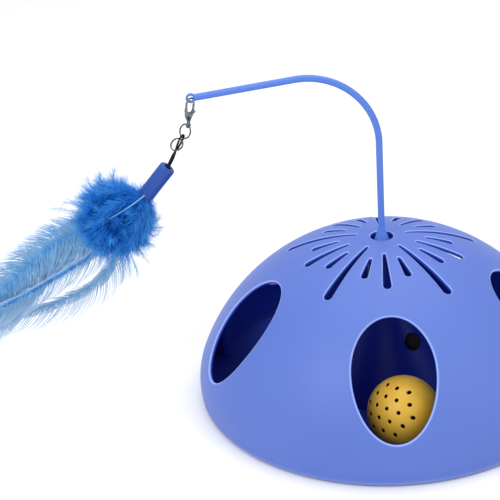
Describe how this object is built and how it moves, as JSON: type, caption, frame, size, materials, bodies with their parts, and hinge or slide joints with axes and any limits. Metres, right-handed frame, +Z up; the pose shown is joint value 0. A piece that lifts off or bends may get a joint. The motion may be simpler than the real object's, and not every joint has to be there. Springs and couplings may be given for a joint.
{
  "type": "automatic cat feather toy",
  "caption": "Vented dome on a round tray with paw ports, a ball that runs round inside, and a geared bent wand that swings a clipped feather lure.",
  "frame": {"origin": "on the dome's axis, in the plane that its rubber feet stand on", "axes": "+Z up along the dome's and the wand drive's axis; -Y towards the port seen front-on in the picture; the wand's arm points along -X at rest"},
  "size_m": [0.3659, 0.23, 0.2008],
  "materials": {
    "dome": "moulded, satin gloss",
    "tray": "moulded, fine grain",
    "rubber": "matt",
    "steel": "plated",
    "hub": "moulded, satin gloss",
    "button": "moulded",
    "switch": "moulded",
    "board": "coated laminate",
    "works": "moulded",
    "cell": "wrapped",
    "spring_steel": "nickel plated",
    "gear": "acetal",
    "brass": "turned",
    "wand": "flexible, gloss",
    "chrome": "polished",
    "cord": "braided",
    "ferrule": "moulded",
    "hackle": "dyed feather",
    "down": "dyed down",
    "ball": "moulded"
  },
  "bodies": {
    "base": {"dome_shell": "dome", "base_tray": "tray", "rubber_feet": "rubber", "tray_screws": "steel", "drive_housing": "hub", "switch_body": "switch", "circuit_board": "board", "battery_box": "works", "battery_door": "tray", "battery_door_screw": "steel", "cell_1": "cell", "cell_2": "cell", "cell_3": "cell", "negative_contacts": "spring_steel", "positive_contacts": "spring_steel", "axle_pins": "steel", "gearbox_cover": "works", "gearbox_screws": "steel", "motor_can": "steel", "motor_end_cap": "switch", "top_bush": "works"},
    "wand_drive": {"output_gear": "gear", "drive_shaft": "gear", "wand_socket": "gear", "wand": "wand"},
    "second_wheel": {"second_gear": "gear"},
    "first_wheel": {"first_gear": "gear"},
    "motor_rotor": {"motor_pinion": "brass", "motor_shaft": "steel"},
    "button": {"power_button": "button", "switch_plunger": "button"},
    "ball": {"ball_front_half": "ball", "ball_back_half": "ball"},
    "clasp": {"clasp_body": "chrome", "clasp_pin": "chrome"},
    "gate": {"clasp_gate": "chrome"},
    "ring": {"jump_ring": "chrome"},
    "lure": {"split_ring": "chrome", "cord_loop": "cord", "ferrule": "ferrule", "hackle_feather_1": "hackle", "hackle_feather_2": "hackle", "hackle_feather_3": "hackle", "feather_puff": "down"}
  },
  "joints": [
    {"name": "wand_spin", "type": "hinge", "parent": "base", "child": "wand_drive", "pos_m": [0, 0, 0.09], "axis": [0, 0, 1], "continuous": true},
    {"name": "second_wheel_spin", "type": "hinge", "parent": "base", "child": "second_wheel", "pos_m": [-0.01222, 0.00144, 0.02], "axis": [0, 0, 1], "continuous": true},
    {"name": "first_wheel_spin", "type": "hinge", "parent": "base", "child": "first_wheel", "pos_m": [-0.0095, 0.01221, 0.022], "axis": [0, 0, 1], "continuous": true},
    {"name": "motor_spin", "type": "hinge", "parent": "base", "child": "motor_rotor", "pos_m": [0, 0.0085, 0.023], "axis": [0, 0, 1], "continuous": true},
    {"name": "button_press", "type": "slide", "parent": "base", "child": "button", "axis": [-0.5738, 0.6486, -0.5], "range_m": [0, 0.0008], "stiffness_N_per_m": 600, "springref_m": -0.0005},
    {"name": "ball_run", "type": "hinge", "parent": "base", "child": "ball", "pos_m": [0, 0, 0.0243], "axis": [0, 0, 1], "continuous": true},
    {"name": "clasp_swing", "type": "hinge", "parent": "wand_drive", "child": "clasp", "pos_m": [-0.10564, 0, 0.19087], "axis": [0, 1, 0], "range_deg": [-8, 40]},
    {"name": "gate_open", "type": "hinge", "parent": "clasp", "child": "gate", "pos_m": [-0.10565, 0.00184, 0.18164], "axis": [0.7551, -0.6428, -0.1291], "range_deg": [0, 35], "stiffness_Nm_per_rad": 0.003, "springref_deg": -17.19},
    {"name": "ring_swing", "type": "hinge", "parent": "clasp", "child": "ring", "pos_m": [-0.10842, 0, 0.1746], "axis": [0.6428, 0.766, 0], "range_deg": [-14, 6]},
    {"name": "lure_swing", "type": "hinge", "parent": "ring", "child": "lure", "pos_m": [-0.11258, 0, 0.16754], "axis": [0.766, -0.6428, 0], "range_deg": [-35, 12]}
  ],
  "couplings": [
    {"joint": "second_wheel_spin", "follows": "wand_spin", "ratio": -3.5556},
    {"joint": "first_wheel_spin", "follows": "wand_spin", "ratio": 11.062},
    {"joint": "motor_spin", "follows": "wand_spin", "ratio": -35.951}
  ]
}
